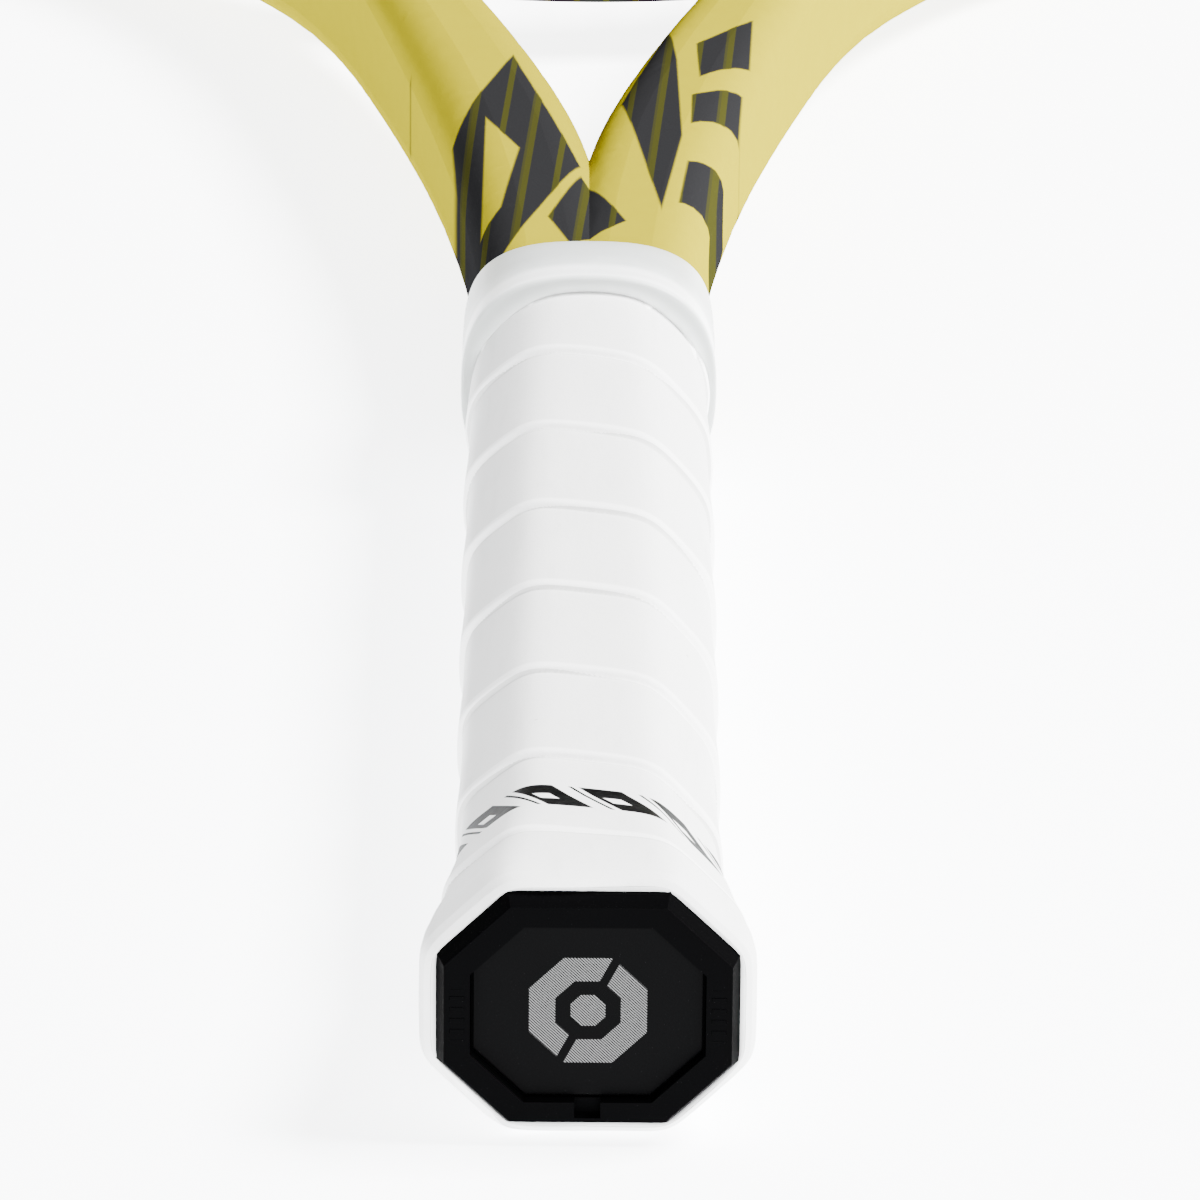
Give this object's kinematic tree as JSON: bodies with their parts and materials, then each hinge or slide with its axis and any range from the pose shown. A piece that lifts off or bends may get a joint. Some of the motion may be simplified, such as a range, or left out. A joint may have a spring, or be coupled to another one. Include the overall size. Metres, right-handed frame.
{
  "type": "tennis racket",
  "caption": "Strung tennis racket with a yellow and charcoal open-throat frame, white wrapped grip, rubber collar and a butt cap with a trap door.",
  "frame": {"origin": "centre of the butt cap's end face, on the handle's axis", "axes": "+Y from the butt to the head, +X across the racket, +Z out of the string plane"},
  "size_m": [0.269, 0.685, 0.0384],
  "materials": {
    "frame_paint": "gloss lacquer over moulded carbon fibre",
    "bridge_paint": "gloss lacquer over moulded carbon fibre",
    "foam": "cut foam",
    "foam_skin": "moulded polyurethane foam",
    "cap_black": "satin moulded plastic",
    "door_black": "satin moulded plastic",
    "staple_steel": "drawn wire",
    "grip_white": "smooth synthetic leather",
    "tape_black": "thin vinyl tape",
    "collar_rubber": "smooth translucent rubber",
    "guard_black": "moulded nylon",
    "strip_black": "moulded nylon",
    "string_main": "extruded nylon",
    "string_cross": "extruded nylon"
  },
  "bodies": {
    "racket": {"hairpin_frame": "frame_paint", "throat_bridge": "bridge_paint", "shaft_foam_plugs": "foam", "handle_pallet": "foam_skin", "butt_cap": "cap_black", "butt_cap_staples": "staple_steel", "grip_staple": "staple_steel", "grip_wrap": "grip_white", "finishing_tape": "tape_black", "rubber_collar": "collar_rubber", "bumper_guard": "guard_black", "side_strip_left": "strip_black", "side_strip_right": "strip_black", "bridge_strip": "strip_black", "main_string": "string_main", "cross_string": "string_cross", "string_knots": "string_main"},
    "door": {"trap_door": "door_black"}
  },
  "joints": [
    {"name": "door_release", "type": "slide", "parent": "racket", "child": "door", "axis": [0, -1, 0], "range_m": [0, 0.035]}
  ]
}
